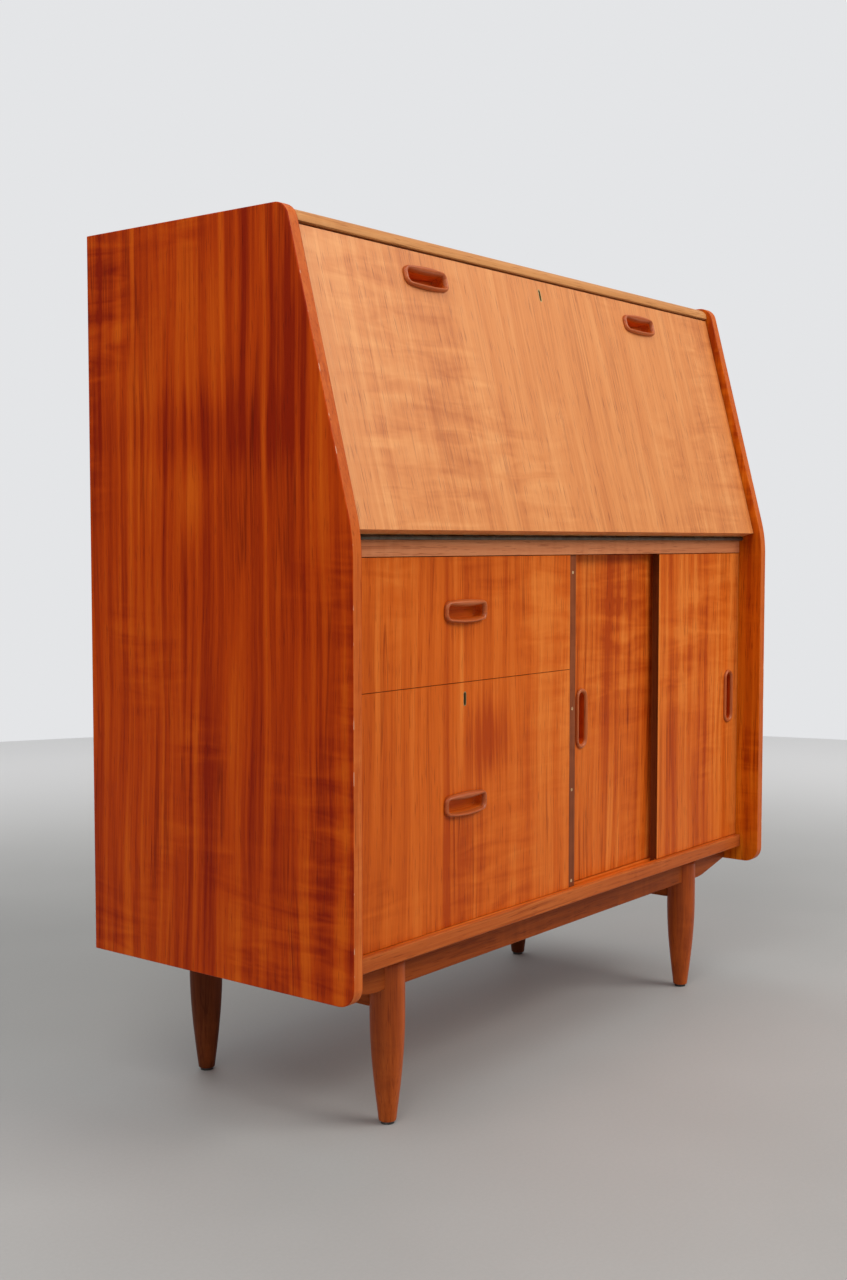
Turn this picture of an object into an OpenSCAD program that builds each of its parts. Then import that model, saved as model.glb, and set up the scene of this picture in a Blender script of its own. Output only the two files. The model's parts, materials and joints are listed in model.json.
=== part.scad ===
// Teak secretary desk: sloping fall front over two drawers and two sliding doors, on a
// low frame with four turned legs. X runs left to right, the front faces -Y, Z is up,
// and the origin is on the floor below the middle of the desk.

/* [Overall] */
// Width over the side panels
desk_w = 920; // [800:10:1100]
// Depth of the side panels
desk_d = 390; // [370:5:430]
// Height of the side panels above the floor
desk_h = 975; // [960:5:1010]
// Height of the side panels' lower edge above the floor
floor_gap = 167; // [155:1:180]

/* [Side panels] */
// Thickness of the side panels
panel_t = 15; // [12:1:20]
// Height at which the front edge starts to lean back
knee_h = 640; // [635:1:645]
// How far the front edge leans back by the top
slope_run = 87.5; // [80:0.5:95]
// Radius of the front corners
corner_r = 20; // [10:1:30]
// Radius of the bend at the knee
knee_r = 180; // [100:10:250]

/* [Boards] */
// Thickness of the top
top_t = 14.5; // [14:0.5:18]
// Thickness of the writing board and of the fall front
board_t = 20; // [18:1:22]
// Height of the writing surface
writing_h = 638; // [636:1:640]
// Thickness of the bottom board
base_t = 17; // [15:1:20]
// Height of the bottom board's upper face
base_h = 205; // [200:1:210]
// Thickness of the divider between the drawers and the cupboard
divider_t = 15; // [12:1:18]
// Thickness of the plywood back panels
back_t = 5; // [4:1:6]

/* [Fall front] */
// Length of the fall along its slope
fall_len = 320; // [300:1:321]
// Gap between the fall and each side panel
fall_gap = 1.5; // [1:0.1:3]
// Distance of the hinge axis behind the side panels' front edge
hinge_set_back = 30; // [28:0.5:32]
// Distance from the hinge axis to the fall's lower edge
hinge_edge_gap = 3; // [2.8:0.1:4]
// Knuckle diameter of the piano hinge
knuckle_d = 5; // [4:0.2:5]
// Travel of the fall lock's bolt
fall_bolt_travel = 12; // [8:1:12]

/* [Drawers] */
// Thickness of the drawer fronts
front_t = 16; // [14:1:18]
// Height of the gap between the upper and lower drawer
split_h = 477.2; // [460:0.2:490]
// Thickness of the drawer sides and backs
side_t = 12; // [9:1:14]
// Length of a drawer behind its front
drawer_len = 305; // [250:5:320]
// Travel of the lower drawer lock's bolt
drawer_bolt_travel = 8; // [5:1:8]

/* [Sliding doors] */
// Thickness of the doors
door_t = 10; // [9:1:12]
// Width of each door
door_w = 234; // [225:1:250]
// Free gap between the front door and the rear door
door_gap = 4.5; // [4:0.1:6]

/* [Pulls] */
// Length of a pull
pull_len = 78; // [70:1:90]
// Width of a pull
pull_w = 28; // [24:1:32]
// Length of the finger slot
slot_len = 64; // [55:1:70]
// Width of the finger slot
slot_w = 16; // [12:1:18]
// How far the drawer and fall pulls stand out
pull_proud = 7; // [4:0.5:9]
// How far the door pulls stand out
door_pull_proud = 3.5; // [2:0.1:3.8]

/* [Underframe] */
// Largest diameter of the legs
leg_d = 39; // [34:1:44]
// Diameter of the legs at the foot
foot_d = 19.5; // [16:0.5:24]
// Distance of the legs from the middle of the desk
leg_x = 331; // [300:1:360]
// Front legs' distance behind the side panels' front edge
front_leg_y = 62; // [55:1:75]
// Back legs' distance in front of the side panels' back edge
back_leg_y = 47; // [40:1:60]
// Thickness of the rails
rail_t = 20; // [16:1:24]
// Depth of the front and back rails
long_rail_h = 35.5; // [30:0.5:40]
// Depth of the side rails
side_rail_h = 60; // [45:1:65]

/* [Desk interior] */
// Height of the pigeonholes
pigeonhole_h = 97; // [80:1:120]
// Depth of the pigeonholes
pigeonhole_d = 187; // [150:1:190]
// Thickness of the pigeonhole boards
thin_t = 10; // [6:1:12]
// Distance between the partitions
partition_pitch = 222; // [200:1:230]

/* [Hidden] */
$fn = 48;
eps = 0.01;
half_w = desk_w / 2;
inner_x = half_w - panel_t;
front_y = -desk_d / 2;
back_y = desk_d / 2;
lean = atan(slope_run / (desk_h - knee_h));

// Back: plywood in a rebate, set in a little from the side panels' back edge
back_inset = 3;
rebate_x = 7;
boards_back_y = back_y - back_inset - back_t;
back_screw_d = 3;
back_screw_head_d = 6.5;
back_screw_head_h = 1;
back_screw_grip = 12;
back_screw_x = [-400, -135, 135, 400];

// Top: set down a little below the side panels, with a round nose over the fall. The nose
// starts above the lower chamfer, so its radius follows from the thickness
top_set_down = 2.5;
top_z = desk_h - top_set_down;
top_under = top_z - top_t;
top_chamfer = 1;
nose_y = front_y + 91;
nose_flat = 0.5;
nose_r = top_t - top_chamfer - nose_flat;

// Writing board, bottom board and their solid front edges
rail_face_y = front_y + 34;
lipping_t = 4;
base_face_y = front_y + 27;
base_lipping_t = 6;
writing_under = writing_h - board_t;
base_under = base_h - base_t;

// Divider pins, the ends of the pegs that hold the drawer runners
divider_face_y = front_y + 37;
pin_d = 4;
pin_len = 18;
pin_z = [596, 428, 327, 213];

// Fall front, in its own frame: Y is across its thickness and Z runs up the slope
axis_y = front_y + hinge_set_back;
axis_z = writing_h;
fall_w = 2 * (inner_x - fall_gap);
fall_top = hinge_edge_gap + fall_len;
fall_pull_x = 235;
fall_pull_z = fall_top - 32;
fall_key_z = fall_top - 19;

// Pulls: wall round the finger slot, step of the rim, and the depth of each mortise
pull_wall = 2.5;
rim_step = 2;
fall_pull_depth = board_t - 4;
drawer_pull_depth = front_t - 3;
door_pull_depth = door_t - 1;
pull_floor = 2;
door_pull_floor = 1;

// Piano hinge
leaf_t = 1.2;
leaf_w = 22;
leaf_gap = 3.3;
hinge_pin_d = 2;
knuckle_count = 30;
knuckle_pitch = fall_w / knuckle_count;
knuckle_space = 0.6;

// Locks
case_w = 56;
case_h = 38;
case_t = 11;
bolt_w = 18;
bolt_t = 5;
bolt_play = 0.3;
bolt_foot = 3;
key_slot_len = 14;
key_slot_w = 3;
liner_t = 1.2;
liner_depth = 6;
strike_t = 1.5;
strike_w = 44;
strike_d = 16;
case_drop = 6;
bolt_mid = 6;
strike_y = axis_y + (fall_top + 5) * sin(lean) - bolt_mid * cos(lean);

// Drawer bay, between the left side panel and the divider
bay_left = -inner_x;
bay_right = -divider_t / 2;
bay_mid = (bay_left + bay_right) / 2;
bay_w = bay_right - bay_left;
drawer_face_y = front_y + 35;
drawer_gap = 1.5;
front_w = bay_w - 2 * drawer_gap;
box_w = bay_w - 3;
split_gap = 0.8;
front_edge_gap = 0.8;
drawer_rail_t = 18;
drawer_rail_d = 45;
drawer_rail_z = split_h - 9.2;
runner_w = 18;
run_play = 0.3;
behind_front = 2;
lock_drop = 0.5;
bottom_t = 5;
bottom_rise = 4;
back_drop = 6;
upper_pull_z = 557;
lower_pull_z = (base_h + split_h) / 2;
lower_key_z = split_h - 18.7;
upper_low = drawer_rail_z + drawer_rail_t + run_play;
upper_high = writing_under - 18;
lower_low = base_h + run_play;
lower_high = drawer_rail_z - 28;

// Cupboard, between the divider and the right side panel
cup_left = divider_t / 2;
cup_right = inner_x;
front_door_y = rail_face_y + 0.5;
rear_door_y = front_door_y + door_t + door_gap;
tongue_rebate = 3.8;
groove_play = 0.3;
groove_depth_low = 5;
groove_depth_high = 9;
tongue_low = 4.5;
tongue_high = 5;
door_play = 0.5;
door_edge_gap = 1;
door_pull_inset = 31;
door_mid_z = (base_h + writing_under) / 2;
left_pull_x = cup_left + door_play + door_pull_inset;
right_pull_x = cup_right - door_play - door_pull_inset;
shelf_z = 400;
shelf_t = 14;
shelf_pin_d = 6;
shelf_pin_len = 8;
shelf_side_gap = 1;
shelf_set_back = 6;
shelf_pin_y = [rear_door_y + 50, boards_back_y - 40];

// Underframe
leg_front_y = front_y + front_leg_y;
leg_back_y = back_y - back_leg_y;
glide_h = 3;
glide_d = 15;
taper_start = 363;
taper_rise = 16.5;
taper_ease = 14;
taper_ease_rise = 1.5;
block_x = 150;
block_w = 40;
block_d = 20;
block_h = 25;
screw_d = 4;
screw_head_d = 8;
screw_head_h = 2;
screw_cover = 5;

// Desk interior
pigeonhole_front = boards_back_y - pigeonhole_d;
small_front_t = 10;
small_wall = 7;
small_gap = 1;
small_floor_gap = 0.5;
small_back_gap = 10;
knob_d = 16;
knob_len = 14;
stop_w = 12;
stop_len = 40;

// ---- Shared shapes ----

// Points of an arc round [cx, cy] from angle a0 to a1
function arc(cx, cy, r, a0, a1, n) =
    [for (i = [0 : n]) let (a = a0 + (a1 - a0) * i / n) [cx + r * cos(a), cy + r * sin(a)]];

// Box between two corners
module block(low, high) {
    translate(low)
        cube(high - low);
}

// Extrudes an outline drawn in Y and Z along X, from x0 to x1
module along_x(x0, x1) {
    translate([x0, 0, 0])
        rotate([90, 0, 90])
            linear_extrude(x1 - x0)
                children();
}

// Stadium outline, its length along X
module stadium(len, wid) {
    square([len - wid, wid], center = true);
    for (side = [-1, 1])
        translate([side * (len - wid) / 2, 0])
            circle(d = wid);
}

// Stadium-shaped slab upright in X and Z, from y0 to y1
module upright_stadium(len, wid, y0, y1) {
    translate([0, y1, 0])
        rotate([90, 0, 0])
            linear_extrude(y1 - y0)
                stadium(len, wid);
}

// Puts children drawn in the fall's own frame where the closed fall is
module on_fall() {
    translate([0, axis_y, axis_z])
        rotate([-lean, 0, 0])
            children();
}

// ---- Carcass ----

module side_outline() {
    turn = 90 - lean;
    top_centre_y = front_y + slope_run + corner_r * tan(turn / 2);
    polygon(concat(
        [[back_y, floor_gap]],
        arc(front_y + corner_r, floor_gap + corner_r, corner_r, 270, 180, 8),
        arc(front_y + knee_r, knee_h - knee_r * tan(lean / 2), knee_r, 180, 180 - lean, 6),
        arc(top_centre_y, desk_h - corner_r, corner_r, 180 - lean, 90, 8),
        [[back_y, desk_h]]
    ));
}

// Right-hand side panel; the left one is its mirror image
module side_panel() {
    difference() {
        along_x(inner_x, half_w)
            side_outline();
        block([inner_x - 1, boards_back_y, floor_gap - 1], [inner_x + rebate_x, back_y + 1, desk_h + 1]);
    }
}

module left_side_panel() {
    color("saddlebrown")
        mirror([1, 0, 0])
            side_panel();
}

module right_side_panel() {
    color("saddlebrown")
        side_panel();
}

// Shanks and heads of the screws that hold the back panels, into three boards
module back_screw_set(shank_d, head_d) {
    for (x = back_screw_x)
        for (z = [top_under + top_t / 2, writing_h - board_t / 4, writing_under + board_t / 4,
                  base_under + base_t / 2])
            translate([x, boards_back_y + back_t, z])
                rotate([90, 0, 0]) {
                    translate([0, 0, -back_screw_head_h])
                        cylinder(d = head_d, h = back_screw_head_h);
                    cylinder(d = shank_d, h = back_t + back_screw_grip);
                }
}

module back_screws() {
    color("gold")
        back_screw_set(back_screw_d, back_screw_head_d);
}

module top_panel() {
    color("peru")
        difference() {
            along_x(-inner_x, inner_x)
                polygon(concat(
                    [[boards_back_y, top_under], [nose_y + top_chamfer, top_under],
                     [nose_y, top_under + top_chamfer]],
                    arc(nose_y + nose_r, top_z - nose_r, nose_r, 180, 90, 8),
                    [[boards_back_y, top_z]]
                ));
            back_screw_set(back_screw_d, back_screw_head_d);
            strike_pocket();
            bolt_pocket();
        }
}

// Recess for the strike plate, and the deeper hole that the fall's bolt enters
module strike_pocket() {
    translate([0, strike_y, top_under])
        cube([strike_w, strike_d, 2 * strike_t], center = true);
}

module bolt_pocket() {
    on_fall()
        block([-bolt_w / 2 - 1, -bolt_mid - bolt_t / 2 - 1, fall_top - 1],
              [bolt_w / 2 + 1, -bolt_mid + bolt_t / 2 + 1, fall_top + fall_bolt_travel + 1]);
}

// Groove for a sliding door's tongue, across the cupboard only
module door_groove(face_y, z0, z1) {
    block([cup_left, face_y + tongue_rebate - groove_play, z0],
          [cup_right + 1, face_y + door_t + groove_play, z1]);
}

module door_grooves(z0, z1) {
    for (face_y = [front_door_y, rear_door_y])
        door_groove(face_y, z0, z1);
}

// Shallow rebate in the writing board for the hinge leaf
module leaf_rebate() {
    block([-inner_x - 1, rail_face_y - 1, writing_h - leaf_t],
          [inner_x + 1, axis_y + leaf_w, writing_h + 1]);
}

module writing_board() {
    color("peru")
        difference() {
            block([-inner_x, rail_face_y + lipping_t, writing_under], [inner_x, boards_back_y, writing_h]);
            door_grooves(writing_under - 1, writing_under + groove_depth_high);
            leaf_rebate();
            back_screw_set(back_screw_d, back_screw_head_d);
        }
}

module writing_board_lipping() {
    color("sienna")
        difference() {
            block([-inner_x, rail_face_y, writing_under], [inner_x, rail_face_y + lipping_t, writing_h]);
            leaf_rebate();
        }
}

module bottom_board() {
    color("peru")
        difference() {
            block([-inner_x, base_face_y + base_lipping_t, base_under], [inner_x, boards_back_y, base_h]);
            door_grooves(base_h - groove_depth_low, base_h + 1);
            back_screw_set(back_screw_d, back_screw_head_d);
            frame_screw_set();
        }
}

module bottom_board_lipping() {
    color("sienna")
        block([-inner_x, base_face_y, base_under], [inner_x, base_face_y + base_lipping_t, base_h]);
}

module divider_pin_set() {
    for (z = pin_z)
        translate([0, divider_face_y + pin_len, z])
            rotate([90, 0, 0])
                cylinder(d = pin_d, h = pin_len);
}

module divider() {
    color("sienna")
        difference() {
            block([-divider_t / 2, divider_face_y, base_h], [divider_t / 2, boards_back_y, writing_under]);
            divider_pin_set();
        }
}

module divider_pins() {
    color("burlywood")
        divider_pin_set();
}

module back_panel(z0, z1) {
    color("tan")
        difference() {
            block([-inner_x - rebate_x, boards_back_y, z0],
                  [inner_x + rebate_x, boards_back_y + back_t, z1]);
            back_screw_set(back_screw_d, back_screw_head_d);
        }
}

module upper_back_panel() {
    back_panel(writing_under + board_t / 2, top_z - 2);
}

module lower_back_panel() {
    back_panel(base_under, writing_under + board_t / 2);
}

module cupboard_shelf() {
    color("peru")
        block([cup_left + shelf_side_gap, rear_door_y + door_t + shelf_set_back, shelf_z],
              [cup_right - shelf_side_gap, boards_back_y, shelf_z + shelf_t]);
}

// Pegs under the shelf's corners
module shelf_pins() {
    color("gold")
        for (y = shelf_pin_y)
            for (x = [cup_left, cup_right - shelf_pin_len])
                translate([x, y, shelf_z - shelf_pin_d / 2])
                    rotate([0, 90, 0])
                        cylinder(d = shelf_pin_d, h = shelf_pin_len);
}

// Cross rail behind the gap between the drawers, with a hole for the lower drawer's bolt
module drawer_rail() {
    rail_y = drawer_face_y + front_t + behind_front;
    color("burlywood")
        difference() {
            block([bay_left, rail_y, drawer_rail_z],
                  [bay_right, rail_y + drawer_rail_d, drawer_rail_z + drawer_rail_t]);
            block([bay_mid - bolt_w / 2 - 1, rail_y - 1, drawer_rail_z - 1],
                  [bay_mid + bolt_w / 2 + 1, rail_y + case_t, drawer_rail_z + drawer_bolt_travel + 1]);
        }
}

module drawer_runners() {
    rail_back = drawer_face_y + front_t + behind_front + drawer_rail_d;
    color("burlywood")
        for (x = [bay_left, bay_right - runner_w])
            block([x, rail_back, drawer_rail_z],
                  [x + runner_w, boards_back_y, drawer_rail_z + drawer_rail_t]);
}

// ---- Underframe ----

// Long rail under the front or back edge, with its ends cut upwards towards the side panels
module long_rail(y) {
    low = base_under - long_rail_h;
    color("saddlebrown")
        translate([0, y + rail_t / 2, 0])
            rotate([90, 0, 0])
                linear_extrude(rail_t)
                    polygon([
                        [-inner_x, base_under],
                        [-inner_x, low + taper_rise],
                        [-taper_start - taper_ease, low + taper_ease_rise],
                        [-taper_start, low],
                        [taper_start, low],
                        [taper_start + taper_ease, low + taper_ease_rise],
                        [inner_x, low + taper_rise],
                        [inner_x, base_under]
                    ]);
}

module front_rail() {
    long_rail(leg_front_y);
}

module back_rail() {
    long_rail(leg_back_y);
}

// Side rails between the front and back legs, hollowed at their ends to fit the round legs
module side_rails() {
    color("saddlebrown")
        for (x = [-leg_x, leg_x])
            difference() {
                block([x - rail_t / 2, leg_front_y + rail_t / 2, base_under - side_rail_h],
                      [x + rail_t / 2, leg_back_y - rail_t / 2, base_under]);
                for (y = [leg_front_y, leg_back_y])
                    translate([x, y, 0])
                        cylinder(d = leg_d, h = desk_h);
            }
}

// Turned leg: parallel at the top, then a long curve in to a small foot, with a slot at the
// top that the long rail passes through
module leg(side, y) {
    curve_h = 120;
    steps = 8;
    color("saddlebrown")
        translate([side * leg_x, y, 0])
            difference() {
                rotate_extrude()
                    polygon(concat(
                        [[0, base_under], [0, glide_h], [foot_d / 2 - 1, glide_h]],
                        [for (i = [0 : steps])
                            [foot_d / 2 + (leg_d - foot_d) / 2 * sin(90 * i / steps),
                             glide_h + 1 + curve_h * i / steps]],
                        [[leg_d / 2, base_under]]
                    ));
                block([-leg_d, -rail_t / 2, base_under - long_rail_h], [leg_d, rail_t / 2, base_under + 1]);
            }
}

module front_left_leg() {
    leg(-1, leg_front_y);
}

module front_right_leg() {
    leg(1, leg_front_y);
}

module back_left_leg() {
    leg(-1, leg_back_y);
}

module back_right_leg() {
    leg(1, leg_back_y);
}

module foot_glides() {
    color("silver")
        for (x = [-leg_x, leg_x])
            for (y = [leg_front_y, leg_back_y])
                translate([x, y, 0])
                    cylinder(d = glide_d, h = glide_h);
}

// Places of the four glued blocks that hold the bottom board down on the long rails
module at_frame_blocks() {
    for (x = [-block_x, block_x]) {
        translate([x, leg_front_y + rail_t / 2 + block_d / 2, base_under])
            children();
        translate([x, leg_back_y - rail_t / 2 - block_d / 2, base_under])
            children();
    }
}

module frame_screw_set() {
    at_frame_blocks() {
        translate([0, 0, -block_h - screw_head_h])
            cylinder(d = screw_head_d, h = screw_head_h);
        translate([0, 0, -block_h])
            cylinder(d = screw_d, h = block_h + base_t - screw_cover);
    }
}

module frame_blocks() {
    color("burlywood")
        difference() {
            at_frame_blocks()
                translate([-block_w / 2, -block_d / 2, -block_h])
                    cube([block_w, block_d, block_h]);
            frame_screw_set();
        }
}

module frame_screws() {
    color("gold")
        frame_screw_set();
}

// ---- Desk interior ----

module pigeonhole_shelf() {
    z = writing_h + pigeonhole_h;
    color("peru")
        block([-inner_x, pigeonhole_front, z], [inner_x, boards_back_y, z + thin_t]);
}

module pigeonhole_partitions() {
    color("peru")
        for (i = [-1 : 1])
            block([i * partition_pitch - thin_t / 2, pigeonhole_front, writing_h],
                  [i * partition_pitch + thin_t / 2, boards_back_y, writing_h + pigeonhole_h]);
}

// Small drawer between two partitions: front, walls and floor in one
module small_drawer(side) {
    x = side * partition_pitch / 2;
    half = (partition_pitch - thin_t) / 2 - small_gap;
    top = writing_h + pigeonhole_h - small_gap;
    low = writing_h + small_floor_gap;
    back = boards_back_y - small_back_gap;
    color("peru")
        difference() {
            block([x - half, pigeonhole_front, low], [x + half, back, top]);
            block([x - half + small_wall, pigeonhole_front + small_front_t, low + small_wall],
                  [x + half - small_wall, back - small_wall, top + 1]);
        }
}

module small_knob(side) {
    color("sienna")
        translate([side * partition_pitch / 2, pigeonhole_front, writing_h + pigeonhole_h / 2])
            rotate([90, 0, 0]) {
                cylinder(d = knob_d / 2, h = knob_len);
                translate([0, 0, knob_len / 2])
                    cylinder(d = knob_d, h = knob_len / 2);
            }
}

module small_drawer_left() {
    small_drawer(-1);
}

module small_knob_left() {
    small_knob(-1);
}

module small_drawer_right() {
    small_drawer(1);
}

module small_knob_right() {
    small_knob(1);
}

// Blocks on the side panels that the closed fall rests against
module fall_stops() {
    color("sienna")
        on_fall()
            for (side = [-1, 1])
                translate([side * (inner_x - stop_w / 2), stop_w / 2 + bolt_play, fall_top - stop_len])
                    cube([stop_w, stop_w, stop_len], center = true);
}

// ---- Fall front and its hinge ----

// A pull in the X-Z plane with its face plane at Y = 0: a raised rim with a finger slot that
// runs back into the board behind it
module pull(proud, depth, floor_t) {
    color("sienna")
        difference() {
            union() {
                upright_stadium(pull_len, pull_w, -proud / 2, 0);
                upright_stadium(pull_len - 2 * rim_step, pull_w - 2 * rim_step, -proud, -proud / 2);
                upright_stadium(slot_len + 2 * pull_wall, slot_w + 2 * pull_wall, -eps, depth);
            }
            upright_stadium(slot_len, slot_w, -proud - 1, depth - floor_t);
        }
}

// The mortise that a pull sits in
module pull_mortise(depth) {
    upright_stadium(slot_len + 2 * pull_wall, slot_w + 2 * pull_wall, -1, depth);
}

// A lock in the X-Z plane, its case between Y = 0 and case_t, with its top edge at Z = 0
module lock_case() {
    color("gold")
        difference() {
            block([-case_w / 2, 0, -case_h], [case_w / 2, case_t, 0]);
            block([-bolt_w / 2 - bolt_play, case_t / 2 - bolt_t / 2 - bolt_play, bolt_foot - 1 - case_h],
                  [bolt_w / 2 + bolt_play, case_t / 2 + bolt_t / 2 + bolt_play, 1]);
        }
}

// Its bolt at rest, drawn back, with its tip at the given height
module lock_bolt(tip) {
    color("silver")
        block([-bolt_w / 2, case_t / 2 - bolt_t / 2, bolt_foot - case_h],
              [bolt_w / 2, case_t / 2 + bolt_t / 2, tip]);
}

// Keyhole: a slot along Z, lined with a thin sleeve
module key_slot(width, y0, y1) {
    rotate([0, 90, 0])
        upright_stadium(key_slot_len + width - key_slot_w, width, y0, y1);
}

module key_liner() {
    color("darkgoldenrod")
        difference() {
            key_slot(key_slot_w + 2 * liner_t, 0, liner_depth);
            key_slot(key_slot_w, -1, liner_depth + 1);
        }
}

// Where the fall lock's case sits: flush with the inner face, its top edge below the fall's
module at_fall_lock() {
    on_fall()
        translate([0, -bolt_mid - case_t / 2, fall_top - case_drop])
            children();
}

module fall_front() {
    pocket_high = fall_top - case_drop;
    color("chocolate")
        on_fall()
            difference() {
                block([-fall_w / 2, -board_t, hinge_edge_gap], [fall_w / 2, 0, fall_top]);
                for (side = [-1, 1])
                    translate([side * fall_pull_x, -board_t, fall_pull_z])
                        pull_mortise(fall_pull_depth);
                block([-fall_w / 2 - 1, -leaf_t, hinge_edge_gap - 1], [fall_w / 2 + 1, 1, leaf_w]);
                block([-case_w / 2, -bolt_mid - case_t / 2, pocket_high - case_h],
                      [case_w / 2, 1, pocket_high]);
                block([-bolt_w / 2 - 1, -bolt_mid - bolt_t / 2 - 1, pocket_high - 1],
                      [bolt_w / 2 + 1, 1, fall_top + 1]);
                translate([0, -board_t, fall_key_z]) {
                    key_slot(key_slot_w + 2 * liner_t, -1, liner_depth);
                    key_slot(key_slot_w, -1, board_t - bolt_mid);
                }
            }
}

module fall_pull(side) {
    on_fall()
        translate([side * fall_pull_x, -board_t, fall_pull_z])
            pull(pull_proud, fall_pull_depth, pull_floor);
}

module fall_pull_left() {
    fall_pull(-1);
}

module fall_pull_right() {
    fall_pull(1);
}

module fall_lock_case() {
    at_fall_lock()
        lock_case();
}

module fall_lock_bolt() {
    at_fall_lock()
        lock_bolt(case_drop - 1);
}

module fall_key_liner() {
    on_fall()
        translate([0, -board_t, fall_key_z])
            key_liner();
}

module fall_strike_plate() {
    color("gold")
        difference() {
            translate([0, strike_y, top_under + strike_t / 2])
                cube([strike_w, strike_d, strike_t], center = true);
            bolt_pocket();
        }
}

// Every second knuckle of the hinge, starting from the first or the second, joined by short
// tabs to its leaf, which lies along +Y just under the axis height
module hinge_leaf(first) {
    color("gold")
        difference() {
            union() {
                block([-fall_w / 2, leaf_gap, -leaf_t], [fall_w / 2, leaf_w, 0]);
                for (i = [first : 2 : knuckle_count - 1])
                    translate([-fall_w / 2 + i * knuckle_pitch + knuckle_space / 2, 0, 0]) {
                        rotate([0, 90, 0])
                            cylinder(d = knuckle_d, h = knuckle_pitch - knuckle_space);
                        block([0, 0, -leaf_t], [knuckle_pitch - knuckle_space, leaf_gap + 1, 0]);
                    }
            }
            translate([-fall_w / 2 - 1, 0, 0])
                rotate([0, 90, 0])
                    cylinder(d = hinge_pin_d + 0.3, h = fall_w + 2);
        }
}

module hinge_board_leaf() {
    translate([0, axis_y, axis_z])
        hinge_leaf(0);
}

module hinge_fall_leaf() {
    on_fall()
        rotate([90, 0, 0])
            mirror([0, 0, 1])
                hinge_leaf(1);
}

module hinge_pin() {
    color("silver")
        translate([-fall_w / 2, axis_y, axis_z])
            rotate([0, 90, 0])
                cylinder(d = hinge_pin_d, h = fall_w);
}

// ---- Drawers ----

module drawer_front(z0, z1, pull_z) {
    color("chocolate")
        difference() {
            block([bay_mid - front_w / 2, drawer_face_y, z0],
                  [bay_mid + front_w / 2, drawer_face_y + front_t, z1]);
            translate([bay_mid, drawer_face_y, pull_z])
                pull_mortise(drawer_pull_depth);
        }
}

module drawer_sides(z0, z1) {
    y0 = drawer_face_y + front_t;
    color("burlywood")
        for (x = [bay_mid - box_w / 2, bay_mid + box_w / 2 - side_t])
            block([x, y0, z0], [x + side_t, y0 + drawer_len, z1]);
}

module drawer_back(z0, z1) {
    y1 = drawer_face_y + front_t + drawer_len;
    color("burlywood")
        block([bay_mid - box_w / 2 + side_t, y1 - side_t, z0], [bay_mid + box_w / 2 - side_t, y1, z1]);
}

module drawer_bottom(z0) {
    y0 = drawer_face_y + front_t;
    color("tan")
        block([bay_mid - box_w / 2 + side_t, y0, z0],
              [bay_mid + box_w / 2 - side_t, y0 + drawer_len - side_t, z0 + bottom_t]);
}

module drawer_pull(z) {
    translate([bay_mid, drawer_face_y, z])
        pull(pull_proud, drawer_pull_depth, pull_floor);
}

module upper_drawer_front() {
    drawer_front(split_h + split_gap / 2, writing_under - front_edge_gap, upper_pull_z);
}

module upper_drawer_sides() {
    drawer_sides(upper_low, upper_high);
}

module upper_drawer_back() {
    drawer_back(upper_low, upper_high - back_drop);
}

module upper_drawer_bottom() {
    drawer_bottom(upper_low + bottom_rise);
}

module upper_drawer_pull() {
    drawer_pull(upper_pull_z);
}

module lower_drawer_front() {
    difference() {
        drawer_front(base_h + front_edge_gap, split_h - split_gap / 2, lower_pull_z);
        translate([bay_mid, drawer_face_y, lower_key_z]) {
            key_slot(key_slot_w + 2 * liner_t, -1, liner_depth);
            key_slot(key_slot_w, -1, front_t + 1);
        }
    }
}

module lower_drawer_sides() {
    drawer_sides(lower_low, lower_high);
}

module lower_drawer_back() {
    drawer_back(lower_low, lower_high - back_drop);
}

module lower_drawer_bottom() {
    drawer_bottom(lower_low + bottom_rise);
}

module lower_drawer_pull() {
    drawer_pull(lower_pull_z);
}

// Surface-mounted lock behind the lower drawer's front, its top just under the drawer rail
module at_drawer_lock() {
    translate([bay_mid, drawer_face_y + front_t, drawer_rail_z - lock_drop])
        children();
}

module drawer_lock_case() {
    at_drawer_lock()
        lock_case();
}

module drawer_lock_bolt() {
    at_drawer_lock()
        lock_bolt(-lock_drop);
}

module drawer_key_liner() {
    translate([bay_mid, drawer_face_y, lower_key_z])
        key_liner();
}

// ---- Sliding doors ----

// A door whose front face covers the opening, with a thinner tongue in the grooves
module door(x0, face_y, pull_x) {
    y1 = face_y + door_t;
    color("chocolate")
        difference() {
            union() {
                block([x0, face_y, base_h + door_edge_gap],
                      [x0 + door_w, y1, writing_under - door_edge_gap]);
                block([x0, face_y + tongue_rebate, base_h - tongue_low],
                      [x0 + door_w, y1, writing_under + tongue_high]);
            }
            translate([pull_x, face_y, door_mid_z])
                rotate([0, 90, 0])
                    pull_mortise(door_pull_depth);
        }
}

module door_pull(face_y, pull_x) {
    translate([pull_x, face_y, door_mid_z])
        rotate([0, 90, 0])
            pull(door_pull_proud, door_pull_depth, door_pull_floor);
}

module left_door() {
    door(cup_left + door_play, rear_door_y, left_pull_x);
}

module left_door_pull() {
    door_pull(rear_door_y, left_pull_x);
}

module right_door() {
    door(cup_right - door_play - door_w, front_door_y, right_pull_x);
}

module right_door_pull() {
    door_pull(front_door_y, right_pull_x);
}

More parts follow.
